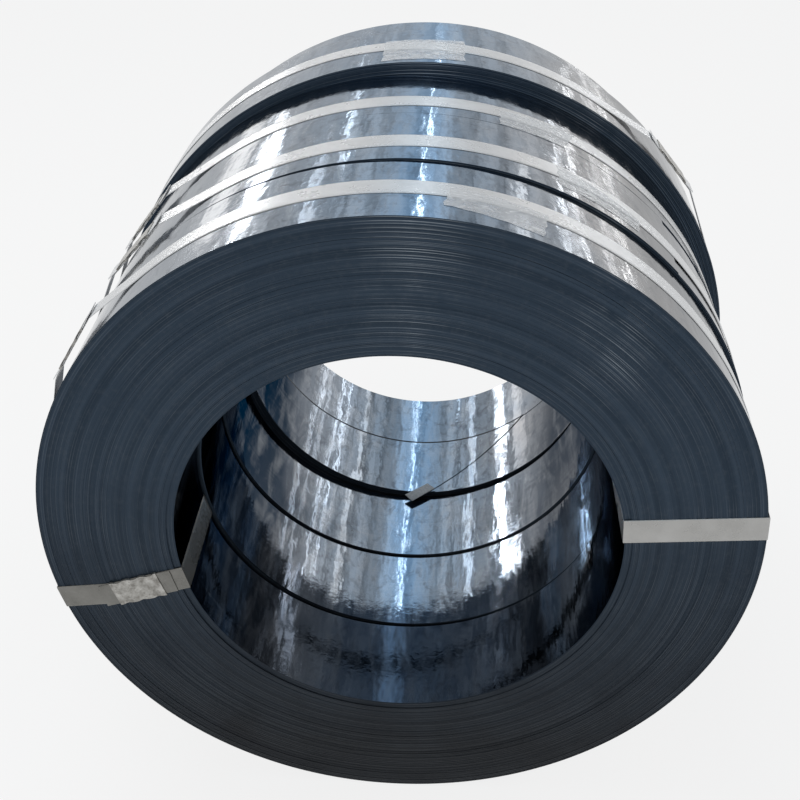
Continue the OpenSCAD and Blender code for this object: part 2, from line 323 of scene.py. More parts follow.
class Shell:
    """Points and quads of one piece, gathered from one or more closed surfaces."""

    def __init__(self):
        self.points = []
        self.quads = []
        self.finish = []
        self.turn = []
        self.count = 0

    def add(self, points, quads, finish=0, turn=0.0):
        """Adds a closed surface, with its faces turned outwards. finish is the material's number for each
        face, and turn a number kept for each point, which on a coil is its radius."""
        points = points.reshape(-1, 3)
        if signed_volume(points, quads) < 0:
            quads = quads[:, ::-1]
        self.points.append(points)
        self.quads.append(quads + self.count)
        self.finish.append(np.broadcast_to(finish, len(quads)))
        self.turn.append(np.broadcast_to(turn, len(points)))
        self.count += len(points)

    def piece(self, name, materials, node):
        """Makes the object, which stands for a CAD node and rides with the pack."""
        mesh = bpy.data.meshes.new(name)
        mesh.from_pydata(np.concatenate(self.points).tolist(), [], np.concatenate(self.quads).tolist())
        for material in materials:
            mesh.materials.append(material)
        mesh.polygons.foreach_set("material_index", np.concatenate(self.finish).astype(np.int32))
        mesh.polygons.foreach_set("use_smooth", np.ones(len(mesh.polygons), bool))
        turn = mesh.attributes.new("turn", "FLOAT", "POINT")
        turn.data.foreach_set("value", np.concatenate(self.turn).astype(np.float32))
        mesh.set_sharp_from_angle(angle=math.radians(SHARP_EDGE))
        mesh.update()
        made = bpy.data.objects.new(name, mesh)
        bpy.context.scene.collection.objects.link(made)
        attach(made, "root")
        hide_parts(node)


def fade(distance, length):
    """One at distance 0, falling in a straight line to 0 at the length, and 0 before the start."""
    return np.where(distance >= 0, np.clip(1 - distance / length, 0, 1), 0)


# Wound coils

def turn_profile(coil, seed, fine):
    """Groups of turns on a coil's end, from the bore to the rim, as the edge radii of each group and how
    far it sits back. A fine end has groups one to three turns wide all over. A plain one, which a
    neighbour covers, has them only beside the bore and the rim."""
    rng = np.random.default_rng(seed)
    widths = rng.integers(1, WIDEST_GROUP + 1, MOST_GROUPS) * STRIP_T
    edges = coil.bore + np.concatenate([[0.0], np.cumsum(widths)])
    edges = np.append(edges[edges < coil.outer - STRIP_T], coil.outer)
    if not fine:
        beside = (edges < coil.bore + PLAIN_MARGIN) | (edges > coil.outer - PLAIN_MARGIN)
        edges = edges[beside]
    back = TURN_STEP * rng.random(len(edges) - 1) ** DEPTH_POWER
    back[rng.random(len(back)) < DEEP_SHARE] += TURN_STEP
    back[edges[:-1] < coil.bore + INNER_WRAPS - STRIP_T / 2] += INNER_WRAPS_STEPS[coil.number - 1]
    return edges, back


def inner_edge_clock(coil, y):
    """Clock angle of the slanted inner strip end at a place along the axis: a straight cut in plan, wrapped
    onto the bore."""
    tip_x = coil.bore * math.cos(math.radians(INNER_END_CLOCK))
    run = (y - coil.front + INNER_END_OUT) / math.tan(math.radians(INNER_END_SLANT))
    return np.degrees(np.arcsin((tip_x + run) / coil.bore)) - 90


def strip_waves(clock, y, seed):
    """Shallow waves of rolled strip, between 0 and 1: the mean of seven sine waves around and along the
    coil."""
    rng = np.random.default_rng(seed)
    around = rng.integers(*WAVES_AROUND, WAVE_COUNT)
    along = rng.uniform(-WAVE_SLANT, WAVE_SLANT, WAVE_COUNT)
    phase = rng.uniform(0, 2 * math.pi, WAVE_COUNT)
    angle = np.radians(clock)[..., None] * around + y[..., None] * along + phase
    return 0.5 + np.sin(angle).mean(-1) / 2


def wound_coil(coil, materials):
    """A ring with four sides, as a closed grid of rows around the section and columns around the clock:
    bore wall, rear end, outer wall and front end. Each end row is a group of turns at its own depth, which
    wanders around the clock. At a strip end the wall steps back by one strip and fades out around the
    coil."""
    fine_front = coil.number == 1
    fine_rear = coil.number == COIL_COUNT
    columns = np.concatenate([np.linspace(0, 360, CLOCK_STEPS + 1)[:-1], [LAST_COLUMN]])
    along = np.linspace(0, 1, WALL_STEPS)
    front_edges, front_back = turn_profile(coil, FRONT_SEED + coil.number, fine_front)
    rear_edges, rear_back = turn_profile(coil, REAR_SEED + coil.number, fine_rear)
    front_r = np.stack([front_edges[:-1], front_edges[1:]], 1).ravel()
    front_y = coil.front + np.repeat(front_back, 2)
    rear_r = np.stack([rear_edges[:-1], rear_edges[1:]], 1).ravel()
    rear_y = coil.rear - np.repeat(rear_back, 2)
    bore_y = front_y[0] + (rear_y[0] - front_y[0]) * along[1:-1]
    bore_y[-1] = rear_y[0] - DULL_EDGE
    outer_y = rear_y[-1] + (front_y[-1] - rear_y[-1]) * along[1:-1]
    bore_r = np.full(len(bore_y), coil.bore)
    outer_r = np.full(len(outer_y), coil.outer)
    row_r = np.concatenate([bore_r, rear_r, outer_r, front_r[::-1]])
    row_y = np.concatenate([bore_y, rear_y, outer_y, front_y[::-1]])
    if coil.number == INNER_END_COIL:
        start = inner_edge_clock(coil, row_y)
    else:
        start = np.full(len(row_y), OUTER_END_CLOCK)
    clock = start[:, None] + columns[None, :]
    r = np.repeat(row_r[:, None], len(columns), 1)
    y = np.repeat(row_y[:, None], len(columns), 1)
    at_bore = np.isclose(row_r, coil.bore)[:, None]
    at_rim = np.isclose(row_r, coil.outer)[:, None]
    waves = WAVE_DEPTH * strip_waves(clock, y, coil.number)
    wander = 1 + WANDER * np.sin(np.radians(2 * clock) + WANDER_TWIST * row_r[:, None] / coil.outer)
    on_end = ~(at_bore | at_rim)
    y = np.where(on_end & (y < coil.middle), coil.front + (y - coil.front) * wander / (1 + WANDER), y)
    y = np.where(on_end & (y > coil.middle), coil.rear - (coil.rear - y) * wander / (1 + WANDER), y)
    r = r + np.where(at_bore, waves, 0) - np.where(at_rim, waves, 0)
    if coil.number == OUTER_END_COIL:
        r = r - np.where(at_rim, STRIP_T * fade(columns[-1] - columns, END_FADE), 0)
    if coil.number == INNER_END_COIL:
        r = r + np.where(at_bore, STRIP_T * fade(columns, END_FADE) * (columns < 180), 0)
    points = np.stack([coil.x + r * np.cos(np.radians(clock)), y, coil.z + r * np.sin(np.radians(clock))], -1)
    rows, cols = r.shape
    runs = [len(bore_y), len(rear_y) - 1, len(outer_y) + 1, len(front_y) - 1, 1]
    faced = np.repeat([IN_BORE, ON_END, OUTSIDE, ON_END, IN_BORE], runs)
    if coil.number == DULL_EDGE_COIL:
        faced[len(bore_y) - 1] = ON_END
    shell = Shell()
    shell.add(points, grid_faces(rows, cols, True, True), np.repeat(faced, cols), r.ravel())
    if coil.number == INNER_END_COIL:
        add_inner_tip(shell, coil)
    shell.piece(f"wound_coil_{coil.number}", materials, f"coil_{coil.number}")


def add_inner_tip(shell, coil):
    """Square tip of the inner strip end: a thin plate laid on the bore, in plan a rectangle along the
    slanted cut, from the corner in front of the coil to behind its face, which droops a little."""
    slant = math.radians(INNER_END_SLANT)
    tip_x = coil.bore * math.cos(math.radians(INNER_END_CLOCK))
    length = INNER_TIP_REACHES * INNER_END_OUT / math.sin(slant)
    u, v = np.meshgrid(*(np.linspace(0, 1, count) for count in INNER_TIP_STEPS), indexing="ij")
    x = tip_x + u * length * math.cos(slant) - v * INNER_TIP_W * math.sin(slant)
    y = coil.front - INNER_END_OUT + u * length * math.sin(slant) + v * INNER_TIP_W * math.cos(slant)
    droop = INNER_TIP_DROOP * np.clip((coil.front - y) / INNER_END_OUT, 0, 1) ** 2
    top = coil.z - np.sqrt((coil.bore - INNER_TIP_GAP) ** 2 - x ** 2) - droop
    upper = np.stack([coil.x + x, y, top], -1)
    lower = upper - [0, 0, INNER_TIP_T]
    add_plate(shell, upper, lower, coil.bore, ON_TIP)


def add_plate(shell, upper, lower, turn=0.0, finish=0):
    """Closes two like grids of points into a thin plate: rows run over the upper side, round the edge and
    back under the lower side, and the two end columns are drawn together."""
    upper_end = np.concatenate([upper[:, :1], upper, upper[:, -1:]], 1)
    lower_end = np.concatenate([upper[:, :1], lower, upper[:, -1:]], 1)
    points = np.concatenate([upper_end, lower_end[::-1]])
    rows, cols = points.shape[:2]
    shell.add(points, grid_faces(rows, cols, True, False), finish, turn)


# Straps

def strap_section(width, thickness):
    """Section of a flat strap, as (across, off the face): a flat back, a flat top and edges that roll down
    from the top to the back as quarter ellipses."""
    turn = np.radians(np.linspace(0, 90, ROLL_STEPS))
    roll = np.stack([STRAP_ROLL * np.cos(turn), thickness * np.sin(turn)], -1)
    right = roll + [width / 2 - STRAP_ROLL, -thickness / 2]
    top = np.linspace(right[-1], right[-1] * [-1, 1], FLAT_STEPS)[1:-1]
    left = right[::-1] * [-1, 1]
    back = np.linspace(left[-1], right[0], FLAT_STEPS)[1:-1]
    return np.concatenate([right, top, left, back])


def sweep(section, centres, off, across):
    """Points of a section carried along a path: the section's second number goes along the path's normal
    and its first across the path."""
    return centres[:, None] + section[None, :, :1] * across[:, None] + section[None, :, 1:] * off[:, None]


def add_strap(shell, section, centres, off, across, closed):
    """Adds a strap along a path. An open one ends in a short taper to a thin closed edge."""
    points = sweep(section, centres, off, across)
    if not closed:
        tips = points[[0, -1]].mean(1, keepdims=True)
        first = np.repeat(tips[:1], points.shape[1], 1)
        last = np.repeat(tips[1:], points.shape[1], 1)
        points = np.concatenate([first, points, last])
    shell.add(points, grid_faces(*points.shape[:2], closed, True))


def band_reach(coil, clock):
    """Radius of a belly band's inner face: the coil's circle, and at the seal a flat that stands off it,
    with straight runs that leave the circle as tangents."""
    circle = coil.outer + STRAP_GAP
    flat = circle + BAND_LIFT
    from_seal = np.abs((clock - SEAL_CLOCKS[coil.number - 1] + 180) % 360 - 180)
    corner = math.degrees(math.atan2(LAP_L / 2, flat))
    leave = corner + math.degrees(math.acos(circle / math.hypot(flat, LAP_L / 2)))
    on_flat = flat / np.cos(np.radians(from_seal))
    on_run = circle / np.cos(np.radians(np.maximum(leave - from_seal, 0)))
    return np.where(from_seal < corner, on_flat, on_run)


def belly_band(coil, material):
    """A taut strap around a coil, with its outer end lapped over the flat at the seal and a little lifted."""
    section = strap_section(STRAP_W, STRAP_T)
    seal_clock = SEAL_CLOCKS[coil.number - 1]
    clock = np.linspace(0, 360, BAND_STEPS + 1)[:-1]
    lap = seal_clock + np.degrees(np.linspace(-0.5, 0.5, BAND_LAP_STEPS) * LAP_L / coil.outer)
    tips = np.abs(np.linspace(-1, 1, BAND_LAP_STEPS)) ** 6 * BAND_TIP_LIFT
    shell = Shell()
    for angles, lift, closed in ((clock, 0.0, True), (lap, STRAP_T * BAND_LAP_HEIGHT + tips, False)):
        turn = np.radians(angles)
        off = np.stack([np.cos(turn), np.zeros_like(turn), np.sin(turn)], -1)
        reach = band_reach(coil, angles) + STRAP_T / 2 + lift
        centres = np.array([coil.x, 0, coil.z]) + reach[:, None] * off
        centres[:, 1] = band_middle(coil, angles)
        across = np.repeat([[0.0, 1.0, 0.0]], len(angles), 0)
        add_strap(shell, section, centres, off, across, closed)
    shell.piece(f"belly_band_{coil.number}", [material], f"band_{coil.number}")


def eye_loop(flat_length):
    """Corners of a taut loop in (along the axis, reach): back through the front coil's bore, up its rear end
    and forward over its rim, with a flat length over the belly band."""
    first = coils[0]
    wall = first.bore - FLAT_IN_BORE
    edge = first.outer + FLAT_ON_RIM
    over_band = edge + STRAP_GAP + STRAP_T
    band = band_middle(first, 0.0)
    return np.array([
        [first.front, wall], [first.rear, wall], [first.rear, edge],
        [band + flat_length / 2, over_band], [band - flat_length / 2, over_band], [first.front, edge],
    ])


def round_path(corners, distance):
    """Closed path at a distance outside a convex loop: an arc around each corner, and points along the
    straight runs between. Returns the points and their normals."""
    ahead = np.roll(corners, -1, 0) - corners
    run_normal = np.arctan2(-ahead[:, 0], ahead[:, 1])
    before = np.roll(run_normal, 1)
    bend = (run_normal - before + math.pi) % (2 * math.pi) - math.pi
    angles = before[:, None] + bend[:, None] * np.linspace(0, 1, BEND_STEPS)
    normals = np.stack([np.cos(angles), np.sin(angles)], -1)
    arcs = corners[:, None] + distance * normals
    share = np.linspace(0, 1, RUN_STEPS)[1:-1, None]
    starts = arcs[:, -1:]
    stops = np.roll(arcs[:, 0], -1, 0)[:, None]
    runs = starts + (stops - starts) * share
    run_normals = np.repeat(normals[:, -1:], len(share), 1)
    points = np.concatenate([arcs, runs], 1).reshape(-1, 2)
    return points, np.concatenate([normals, run_normals], 1).reshape(-1, 2)


class StrapLine:
    """Line of an eye strap: where it leaves the bore, the way it runs out to the rim and the way across its
    width. It runs straight to a kink that lies out of line, and straight on to the rim."""

    def __init__(self, bore_clock, rim_clock, kink):
        first = coils[0]
        bore = np.radians(bore_clock)
        rim = np.radians(rim_clock)
        self.start = np.array([first.x + first.bore * np.cos(bore), first.z + first.bore * np.sin(bore)])
        end = np.array([first.x + first.outer * np.cos(rim), first.z + first.outer * np.sin(rim)])
        self.out = (end - self.start) / np.linalg.norm(end - self.start)
        self.across = np.array([-self.out[1], 0, self.out[0]])
        self.kink = kink

    def place(self, along, reach):
        """Point at a place along the axis and a reach from the first coil's axis."""
        from_bore = reach - coils[0].bore
        flat = self.start + from_bore[:, None] * self.out
        stops = [0, KINK_FROM_BORE, coils[0].outer - coils[0].bore]
        aside = np.interp(from_bore, stops, [0, self.kink, 0])
        return np.stack([flat[:, 0], along, flat[:, 1]], -1) + aside[:, None] * self.across

    def direction(self, along, outward):
        """Vector with one part along the axis and one outward along the strap's line."""
        return np.stack([outward * self.out[0], along, outward * self.out[1]], -1)

    def seal_seat(self, on_front):
        """Middle of the seal on the lower face of the straps, the way along them and the way off the coil:
        on the front face beside the bore, or on the rim over the belly band."""
        first = coils[0]
        if on_front:
            seat = np.array([[first.front - STRAP_GAP, first.bore + EYE_SEAL_FROM_BORE]])
            ways = np.array([[0.0, 1.0], [-1.0, 0.0]])
        else:
            reach = first.outer + FLAT_ON_RIM + 2 * STRAP_GAP + STRAP_T
            seat = np.array([[band_middle(first, 0.0), reach]])
            ways = np.array([[1.0, 0.0], [0.0, 1.0]])
        along, off = self.direction(*ways.T)
        if on_front:
            along = along + self.kink / KINK_FROM_BORE * self.across
        return self.place(*seat.T)[0], along / np.linalg.norm(along), off


def eye_strap(side, material):
    """A taut loop through the front coil's bore and around it, lapped over itself where its seal is."""
    bore_clock, rim_clock, on_front, kink = EYE_STRAPS[side]
    line = StrapLine(bore_clock, rim_clock, kink)
    section = strap_section(STRAP_W, STRAP_T)
    loop = eye_loop(STRAP_W if on_front else LAP_L)
    points, normals = round_path(loop, STRAP_GAP + STRAP_T / 2)
    shell = Shell()
    across = np.repeat(line.across[None], len(points), 0)
    add_strap(shell, section, line.place(*points.T), line.direction(*normals.T), across, True)
    seat, along, off = line.seal_seat(on_front)
    share = np.linspace(-1, 1, EYE_LAP_STEPS)[:, None]
    lift = EYE_LAP_HEIGHT * STRAP_T + share ** 8 * EYE_TIP_LIFT
    centres = seat + share * LAP_L / 2 * along + lift * off
    off_lap = np.repeat(off[None], EYE_LAP_STEPS, 0)
    add_strap(shell, section, centres, off_lap, across[:EYE_LAP_STEPS], False)
    shell.piece(f"strap_{side}", [material], f"eye_strap_{side}")


# Seals

def crimped_sheet():
    """A seal in its own frame, along X, across Y and off the straps along Z: a folded sheet over two lapped
    straps. Crimps along each side push its edges in and fold them, so that the edges run in waves. Returns
    the outer and the inner side as grids of points."""
    steps = [np.linspace(-1, 1, count) for count in SEAL_STEPS]
    along, over = np.meshgrid(*steps, indexing="ij")
    crimp = (np.cos(CRIMP_COUNT / 2 * math.pi * along) ** 2) ** 1.5
    half = STRAP_W / 2 + STRAP_GAP + SEAL_T
    roof = 2 * STRAP_T + STRAP_GAP
    edge = np.clip((np.abs(over) - FOLD_FROM) / (1 - FOLD_FROM), 0, 1)
    near_edge = np.clip((np.abs(over) - CRIMP_FROM) / (1 - CRIMP_FROM), 0, 1) ** 2
    sides = []
    for skin in (SEAL_T, 0.0):
        reach = (half - SEAL_T + skin) * np.minimum(np.abs(over) / WIDE_FROM, 1)
        reach = reach - CRIMP_IN * crimp * near_edge
        height = roof + skin - (roof + skin) * np.clip((edge - 0.5) / 0.5, 0, 1) ** 2
        height = height + near_edge * (1 - edge) * CRIMP_RISE * (2 * crimp - 0.6)
        height = np.clip(height, SEAL_FOOT, roof + skin)
        sides.append(np.stack([along * SEAL_L / 2, np.sign(over) * reach, height], -1))
    return sides


def add_seal(shell, base, along, across, off):
    """Adds a crimped sheet at a base point, with its three directions given."""
    axes = np.stack([along, across, off])
    outer, inner = (base + side @ axes for side in crimped_sheet())
    add_plate(shell, outer, inner)


def band_seal(coil, material):
    """The crimped seal of a belly band, on the flat that stands off the coil."""
    clock = SEAL_CLOCKS[coil.number - 1]
    turn = math.radians(clock)
    off = np.array([math.cos(turn), 0, math.sin(turn)])
    along = np.array([-math.sin(turn), 0, math.cos(turn)])
    base = np.array([coil.x, 0, coil.z]) + (coil.outer + STRAP_GAP + BAND_LIFT) * off
    base[1] = band_middle(coil, clock)
    shell = Shell()
    add_seal(shell, base, along, np.array([0.0, -1.0, 0.0]), off)
    shell.piece(f"crimped_seal_{coil.number}", [material], f"band_seal_{coil.number}")


def eye_seal(side, material):
    """The crimped seal of an eye strap."""
    bore_clock, rim_clock, on_front, kink = EYE_STRAPS[side]
    line = StrapLine(bore_clock, rim_clock, kink)
    seat, along, off = line.seal_seat(on_front)
    shell = Shell()
    add_seal(shell, seat, along, np.cross(off, along), off)
    shell.piece(f"crimped_seal_{side}", [material], f"eye_seal_{side}")


# Tape

def tape_patch(number, material):
    """A patch of thin film that lies on the coil and climbs over the band: a grid between four corners, in
    clock angle and place along the axis, with a ragged outline and a few small wrinkles off the band."""
    coil = coils[number - 1]
    corners = np.array(TAPE_CORNERS[number - 1])
    u, v = np.meshgrid(*(np.linspace(0, 1, count) for count in TAPE_STEPS), indexing="ij")
    weights = np.stack([(1 - u) * (1 - v), u * (1 - v), (1 - u) * v, u * v], -1)
    place = coil.middle + weights @ corners[:, 0] * MM
    clock = weights @ corners[:, 1]
    place = place + TAPE_RAGGED_PLACE * np.sin(23 * u + 3 * number) * (2 * v - 1)
    clock = clock + TAPE_RAGGED_CLOCK * np.sin(17 * v + 5 * number) * (2 * u - 1)
    from_band = np.abs(place - band_middle(coil, clock)) - STRAP_W / 2
    climb = STRAP_T * np.clip(1 - from_band / TAPE_CLIMB, 0, 1)
    rise = np.maximum(np.sin(31 * u + 6 * v + number) * np.sin(9 * v - 4 * u + 2 * number), 0)
    off_band = np.clip(from_band / TAPE_SMOOTH, 0, 1)
    r = coil.outer + STRAP_GAP + TAPE_GAP + climb + TAPE_WRINKLE * rise ** 3 * off_band
    turn = np.radians(clock)
    out = np.stack([np.cos(turn), np.zeros_like(turn), np.sin(turn)], -1)
    under = np.stack([np.full_like(r, coil.x), place, np.full_like(r, coil.z)], -1) + r[..., None] * out
    shell = Shell()
    add_plate(shell, under + TAPE_T * out, under)
    shell.piece(f"tape_patch_{number}", [material], f"tape_{number}")


# Shader maths

class Value:
    """A node's output socket. Arithmetic on it adds Math nodes to the same tree."""

    def __init__(self, tree, socket):
        self.tree = tree
        self.socket = socket

    def math(self, operation, *others):
        """A Math node on this value and others."""
        values = dict(enumerate((self,) + others))
        return self.tree.node("ShaderNodeMath", {"operation": operation}, values)

    def __add__(self, other):
        return self.math("ADD", other)

    def __sub__(self, other):
        return self.math("SUBTRACT", other)

    def __mul__(self, other):
        return self.math("MULTIPLY", other)

    def __rsub__(self, other):
        return self.tree.node("ShaderNodeMath", {"operation": "SUBTRACT"}, {0: other, 1: self})

    __radd__ = __add__
    __rmul__ = __mul__

    def clamp(self, low, high):
        """The value's place between two bounds, from 0 to 1, with nothing beyond them."""
        sockets = {"Value": self, "From Min": low, "From Max": high}
        return self.tree.node("ShaderNodeMapRange", {"clamp": True}, sockets)


class Tree:
    """A node tree that starts empty."""

    def __init__(self, owner):
        owner.use_nodes = True
        self.tree = owner.node_tree
        self.tree.nodes.clear()

    def node(self, kind, settings=None, sockets=None, out=0):
        """Adds a node: its settings are set first, then its sockets get values or links. Returns one
        output."""
        made = self.tree.nodes.new(kind)
        for name, value in (settings or {}).items():
            setattr(made, name, value)
        for key, value in (sockets or {}).items():
            if isinstance(value, Value):
                self.tree.links.new(value.socket, made.inputs[key])
            else:
                made.inputs[key].default_value = value
        return Value(self, made.outputs[out]) if len(made.outputs) else None

    def mix(self, factor, first, second):
        """Colour between two colours."""
        return self.node("ShaderNodeMix", {"data_type": "RGBA"}, {0: factor, 6: first, 7: second}, 2)

    def noise(self, place, scale, detail=3.0, rough=0.55, warp=0.0):
        """Smooth noise around 0.5 at a place."""
        sockets = {"Vector": place, "Scale": scale, "Detail": detail, "Roughness": rough, "Distortion": warp}
        return self.node("ShaderNodeTexNoise", {}, sockets)

    def line_noise(self, number, scale, detail):
        """Smooth noise around 0.5 over one number."""
        sockets = {"W": number, "Scale": scale, "Detail": detail}
        return self.node("ShaderNodeTexNoise", {"noise_dimensions": "1D"}, sockets)

    def stretched(self, place, scale):
        """A place scaled along each axis, so that a pattern runs long one way."""
        return self.node("ShaderNodeVectorMath", {"operation": "MULTIPLY"}, {0: place, 1: scale})

    def bump(self, height, distance):
        """Normal of a surface raised by a height between 0 and 1 times a distance."""
        return self.node("ShaderNodeBump", {}, {"Height": height, "Distance": distance, "Strength": 1.0})

    def surface(self, sockets):
        """The shader of a finish."""
        return self.node("ShaderNodeBsdfPrincipled", {}, sockets)


def finish(name, build):
    """A material whose surface is what a function returns for its tree."""
    material = bpy.data.materials.new(name)
    tree = Tree(material)
    tree.node("ShaderNodeOutputMaterial", {}, {"Surface": build(tree)})
    return material


def object_place(tree):
    """The point's place in the pack, which on the world is the way that is looked."""
    return tree.node("ShaderNodeTexCoord", {}, {}, 3)


def turn_radius(tree):
    """The radius that is kept for each point of a coil."""
    return tree.node("ShaderNodeAttribute", {"attribute_name": "turn"}, {}, 2)


def axis_parts(tree, place):
    """The three numbers of a place."""
    made = tree.tree.nodes.new("ShaderNodeSeparateXYZ")
    tree.tree.links.new(place.socket, made.inputs[0])
    return [Value(tree, socket) for socket in made.outputs]


# Finishes

def polished_strip(edge_tint):
    """A build function for hardened and polished strip, which is tinted where it is seen at a low angle. It
    is bluish along the middle of the pack, greyer to its sides and warmer at the right, as a painted
    reflection. Painted shade darkens it up the sides of the bore and down the outer sides, apart from a
    lighter place in the bore and the bore's top. Ripples that run along the axis and a fine peel break up its
    reflections, with faint rolling lines around the coil, pale smears along it that are painted reflection
    streaks, and smudges of oil."""
    def build(tree):
        place = object_place(tree)
        x, y, z = axis_parts(tree, place)
        cloud = tree.noise(place, 7.0, 2.0)
        # Painted reflection: blue down the middle of the pack and warm at the right, by place across it
        blue = 1 - (x + (cloud - 0.5) * 0.12).math("ABSOLUTE").clamp(0.03, 0.19)
        warm = (x + (cloud - 0.5) * 0.1).clamp(0.06, 0.26)
        steel = tree.mix(blue, tree.mix(warm, STEEL_GREY, STEEL_WARM_REFLECTION), STEEL_BLUE_REFLECTION)
        inside = 1 - turn_radius(tree).clamp(*BETWEEN_WALLS)
        # Painted shade up the sides of the bore, lighter to the right, left out at a painted lighter place
        # and at the bore's top
        painted_shade = (z - y.clamp(-0.05, 0.2) * 0.05 + (cloud - 0.5) * 0.06).clamp(0.17, 0.24)
        unshaded_top = (1 - x.math("ABSOLUTE").clamp(0.0, 0.05)) * z.clamp(0.6, 0.65)
        painted_light_patch = x.clamp(0.17, 0.22) * (1 - z.clamp(0.42, 0.5)) * (1 - y.clamp(-0.15, 0.0))
        painted_shade = painted_shade * (0.94 - x.clamp(0.14, 0.22) * 0.2 - painted_light_patch * 0.6) * (1 - unshaded_top)
        # Painted shade down the outer sides
        lower = z - x.clamp(0.1, 0.35) * 0.1 + (cloud - 0.5) * 0.16
        limb = (1 - inside) * (1 - lower.clamp(0.56, 0.72))
        steel = tree.mix(inside * painted_shade + limb * 0.8, steel, STEEL_SHADED)
        # Faint rolling lines around the coil, and pale smears along the axis that are painted reflection
        # streaks; the smear noise also sets the roughness
        lines = tree.noise(tree.stretched(place, (5.0, 420.0, 5.0)), 1.0, 2.0)
        smear_and_sheen = tree.noise(tree.stretched(place, (52.0, 12.0, 52.0)), 1.0, 4.0, 0.6, 0.6)
        smudge = tree.noise(tree.stretched(place, (70.0, 45.0, 70.0)), 1.0, 4.0, 0.65, 0.8)
        pale = ((lines - 0.5) * 0.25 + (smear_and_sheen - 0.5) * 0.9 + 0.04) * (1 - limb * 0.75)
        bright = tree.mix(pale.clamp(0.0, 1.0), steel, STEEL_LINES_AND_SHEEN)
        ripple = tree.noise(tree.stretched(place, (46.0, 13.0, 46.0)), 1.0, 2.0)
        peel = tree.noise(place, 120.0, 2.0)
        return tree.surface({
            "Base Color": tree.mix(smudge.clamp(0.52, 0.78) * 0.6, bright, STEEL_SMUDGED),
            "Metallic": 1.0,
            "Specular Tint": edge_tint,
            "Roughness": 0.06 + smear_and_sheen.clamp(0.4, 0.8) * 0.12,
            "Normal": tree.bump(ripple + peel * 0.18, 0.0005),
        })
    return build


def slit_edges(tree):
    """The slit edges of the turns: dark slate blue, with painted shade darker towards the floor, and fine
    lines from turn to turn. Short lines are bright near the top and at the upper right as a painted
    highlight."""
    place = object_place(tree)
    x, _, z = axis_parts(tree, place)
    radius = turn_radius(tree)
    fine = tree.line_noise(radius, 700.0, 2.0)
    broad = tree.line_noise(radius, 90.0, 3.0)
    cloud = tree.noise(place, 14.0, 4.0, 0.6)
    speck = tree.noise(place, 160.0, 3.0, 0.6)
    slate = tree.mix(broad.clamp(0.3, 0.7), SLATE_DARK, SLATE)
    dusty = tree.mix(speck.clamp(0.5, 0.75) * 0.3, slate, SLATE_DUSTY)
    # Painted shade: darker towards the floor
    low = 1 - (z + (cloud - 0.5) * 0.1).clamp(0.08, 0.5)
    shaded = tree.mix(low * 0.97, dusty, SLATE_SHADED)
    # Painted highlight: short bright lines near the top and at the upper right, and faint ones all over
    near_top = (1 - (x - 0.005).math("ABSOLUTE").clamp(0.0, 0.06)) * z.clamp(0.64, 0.7) * 0.8
    upper_right = (1 - (x - 0.21).math("ABSOLUTE").clamp(0.0, 0.05)) * z.clamp(0.6, 0.66)
    lines_and_glint = fine.clamp(0.5, 0.72) * cloud.clamp(0.35, 0.6) * (near_top + upper_right * 0.7 + 0.12)
    return tree.surface({
        "Base Color": tree.mix(lines_and_glint, shaded, SLATE_LINE_GLINT),
        "Metallic": 0.85,
        "Roughness": 0.36 + cloud * 0.2,
        "Normal": tree.bump(fine, 0.0006),
    })


def cut_tip(tree):
    """The strip's inner end, a matt pale grey with painted light, as if lit from above."""
    scuff = tree.noise(object_place(tree), 300.0, 3.0, 0.65)
    return tree.surface({
        "Base Color": tree.mix(scuff.clamp(0.3, 0.7), TIP_LIT_GREY, TIP_LIT_PALE),
        "Metallic": 0.4,
        "Roughness": 0.45 + scuff * 0.2,
    })


def strapping(dull, clean):
    """A build function for flat steel strapping between two greys: a satin coat with faint clouds and rubbed
    spots."""
    def build(tree):
        place = object_place(tree)
        cloud = tree.noise(place, 26.0, 4.0, 0.6)
        scuff = tree.noise(place, 240.0, 3.0, 0.65)
        colour = tree.mix(cloud.clamp(0.3, 0.7), dull, clean)
        return tree.surface({
            "Base Color": tree.mix(scuff.clamp(0.58, 0.8) * 0.35, colour, STRAP_SCUFFED),
            "Metallic": 0.5,
            "Roughness": 0.22 + cloud * 0.12,
            "Normal": tree.bump(cloud + scuff * 0.3, 0.0003),
        })
    return build


def seal_steel(tree):
    """Pressed sheet steel, duller and browner than the strap, with spots of dirt."""
    place = object_place(tree)
    cloud = tree.noise(place, 90.0, 4.0, 0.6)
    scuff = tree.noise(place, 420.0, 3.0, 0.65)
    colour = tree.mix(cloud.clamp(0.35, 0.65), SEAL_DULL, SEAL_CLEAN)
    return tree.surface({
        "Base Color": tree.mix(scuff.clamp(0.5, 0.75) * 0.6, colour, SEAL_DIRT),
        "Metallic": 0.6,
        "Roughness": 0.26 + scuff * 0.15,
        "Normal": tree.bump(cloud, 0.0016),
    })


def clear_tape(tree):
    """Thin clear film, whitish where it is creased."""
    place = object_place(tree)
    crease = tree.noise(tree.stretched(place, (45.0, 110.0, 45.0)), 1.0, 3.0, 0.55, 1.6)
    cloud = tree.noise(place, 45.0, 3.0)
    milky = crease.clamp(0.52, 0.7) * 0.6 + cloud.clamp(0.3, 0.7) * 0.25
    return tree.surface({
        "Base Color": FILM,
        "Roughness": 0.12 + cloud * 0.15,
        "Alpha": 0.24 + milky * 0.6,
        "Normal": tree.bump(crease, 0.0004),
    })


# The pack

